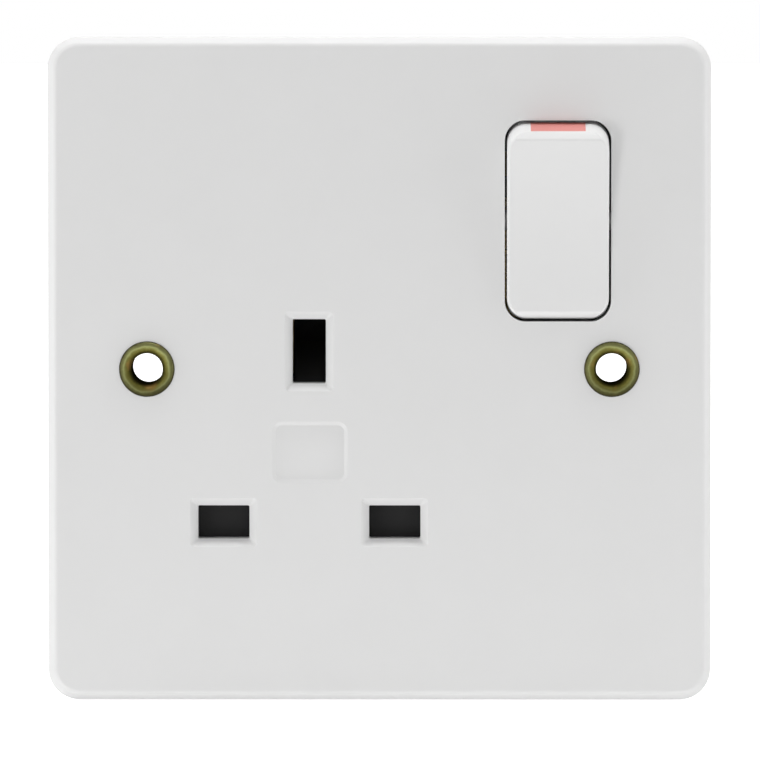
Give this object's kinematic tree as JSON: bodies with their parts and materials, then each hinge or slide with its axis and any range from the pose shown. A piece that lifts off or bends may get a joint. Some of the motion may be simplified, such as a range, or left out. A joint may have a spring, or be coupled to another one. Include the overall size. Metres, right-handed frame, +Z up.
{
  "type": "switched socket outlet",
  "caption": "Square white wall socket outlet for one three-pin 13 A plug, with a rocker switch, shuttered apertures, brass eyelets and rear terminals.",
  "frame": {"origin": "midway between the two fixing holes, on the plane of the plate's rear rim, which rests on the wall", "axes": "+X to the viewer's right, +Z up, +Y into the wall, so the front faces -Y"},
  "size_m": [0.086, 0.0297, 0.086],
  "materials": {
    "white_moulding": "white urea, semi-gloss",
    "red_moulding": "light red moulding",
    "brown_moulding": "brown phenolic",
    "dark_moulding": "black moulding, fine texture",
    "base_moulding": "black heat-resistant moulding",
    "eyelet_brass": "dull olive brass",
    "strip_brass": "stamped strip",
    "block_brass": "machined bar",
    "contact_silver": "silver contact alloy",
    "spring_steel": "drawn wire",
    "screw_steel": "zinc plated"
  },
  "bodies": {
    "socket": {"front_plate": "white_moulding", "eyelet_left": "eyelet_brass", "eyelet_right": "eyelet_brass", "earth_strap": "strip_brass", "earth_rivet": "strip_brass", "shutter_spring": "spring_steel", "base_moulding": "base_moulding", "line_contact": "strip_brass", "neutral_contact": "strip_brass", "earth_contact": "strip_brass", "fixed_contact_strip": "strip_brass", "fixed_contact_rivet": "contact_silver", "line_terminal": "block_brass", "neutral_terminal": "block_brass", "earth_terminal": "block_brass", "base_screw_upper": "screw_steel", "base_screw_side": "screw_steel", "base_screw_lower": "screw_steel"},
    "rocker": {"rocker": "white_moulding", "on_flash": "red_moulding", "plunger_spring": "spring_steel"},
    "plunger": {"plunger": "brown_moulding"},
    "moving_contact": {"moving_contact": "strip_brass", "moving_contact_rivet": "contact_silver"},
    "shutter": {"shutter": "dark_moulding"},
    "line_terminal_screw": {"line_terminal_screw": "screw_steel"},
    "neutral_terminal_screw": {"neutral_terminal_screw": "screw_steel"},
    "earth_terminal_screw": {"earth_terminal_screw": "screw_steel"}
  },
  "joints": [
    {"name": "rocker_tilt", "type": "hinge", "parent": "socket", "child": "rocker", "pos_m": [0.02315, -0.0059, 0.01924], "axis": [-1, 0, 0], "range_deg": [0, 14]},
    {"name": "contact_tilt", "type": "hinge", "parent": "socket", "child": "moving_contact", "pos_m": [0.02315, 0.00557, 0.01924], "axis": [1, 0, 0], "range_deg": [0, 25]},
    {"name": "plunger_slide", "type": "slide", "parent": "rocker", "child": "plunger", "axis": [0, -0.9925, -0.1219], "range_m": [0, 0.001], "stiffness_N_per_m": 300, "springref_m": -0.003, "deforming": ["plunger_spring"]},
    {"name": "shutter_slide", "type": "slide", "parent": "socket", "child": "shutter", "axis": [0, 0, -1], "range_m": [0, 0.0052], "stiffness_N_per_m": 120, "springref_m": -0.004, "deforming": ["shutter_spring"]},
    {"name": "line_screw_travel", "type": "slide", "parent": "socket", "child": "line_terminal_screw", "axis": [0, -1, 0], "range_m": [0, 0.0032]},
    {"name": "neutral_screw_travel", "type": "slide", "parent": "socket", "child": "neutral_terminal_screw", "axis": [0, -1, 0], "range_m": [0, 0.0032]},
    {"name": "earth_screw_travel", "type": "slide", "parent": "socket", "child": "earth_terminal_screw", "axis": [0, -1, 0], "range_m": [0, 0.0032]}
  ],
  "couplings": [
    {"joint": "contact_tilt", "follows": "rocker_tilt", "ratio": 1.7857}
  ]
}
